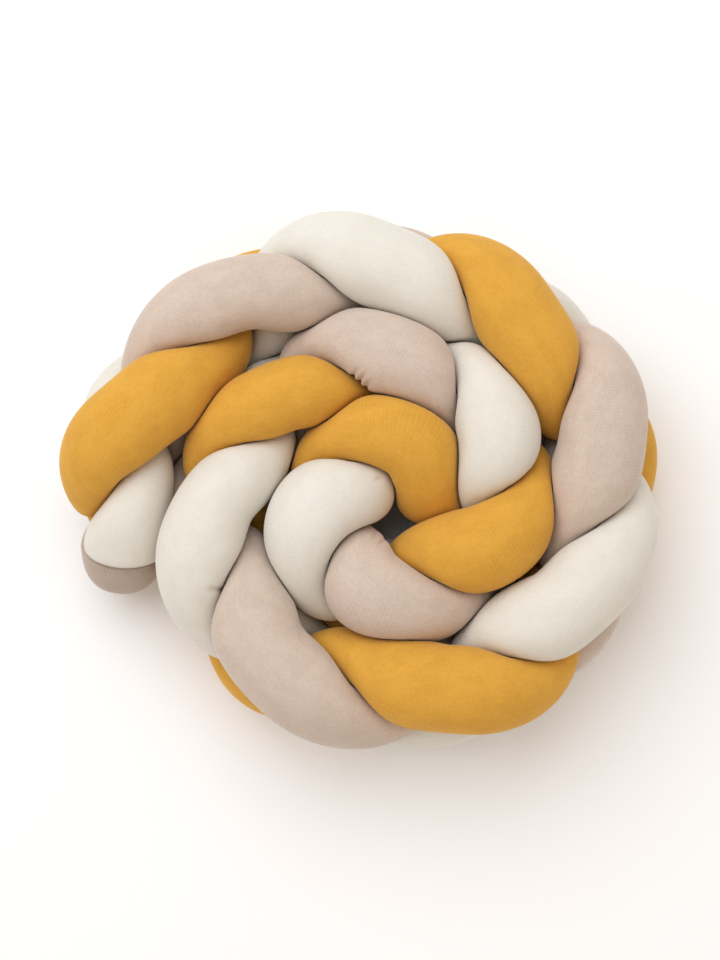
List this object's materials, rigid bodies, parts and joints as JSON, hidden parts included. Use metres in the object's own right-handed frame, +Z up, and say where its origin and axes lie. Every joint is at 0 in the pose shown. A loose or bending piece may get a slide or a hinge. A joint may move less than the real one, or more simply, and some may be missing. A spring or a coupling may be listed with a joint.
{
  "type": "braided crib bumper",
  "caption": "Soft plaited bumper of stuffed jersey strands, rolled up on its edge into a coil with its sewn end cap at the outside; unrolled, it lines the sides of a crib.",
  "frame": {"origin": "on the floor, under the middle of the coil", "axes": "+Z up; +X along the coil's longest side, to the right in the picture; +Y away from the picture's lower edge"},
  "size_m": [0.4994, 0.4443, 0.1577],
  "materials": {
    "cream_jersey": "matt fine cotton jersey, cream",
    "mustard_jersey": "matt fine cotton jersey, mustard",
    "beige_jersey": "matt fine cotton jersey, rosy beige"
  },
  "bodies": {
    "root": {"strand_cream": "cream_jersey", "strand_mustard": "mustard_jersey", "strand_beige": "beige_jersey", "end_cap": "beige_jersey"}
  },
  "joints": []
}
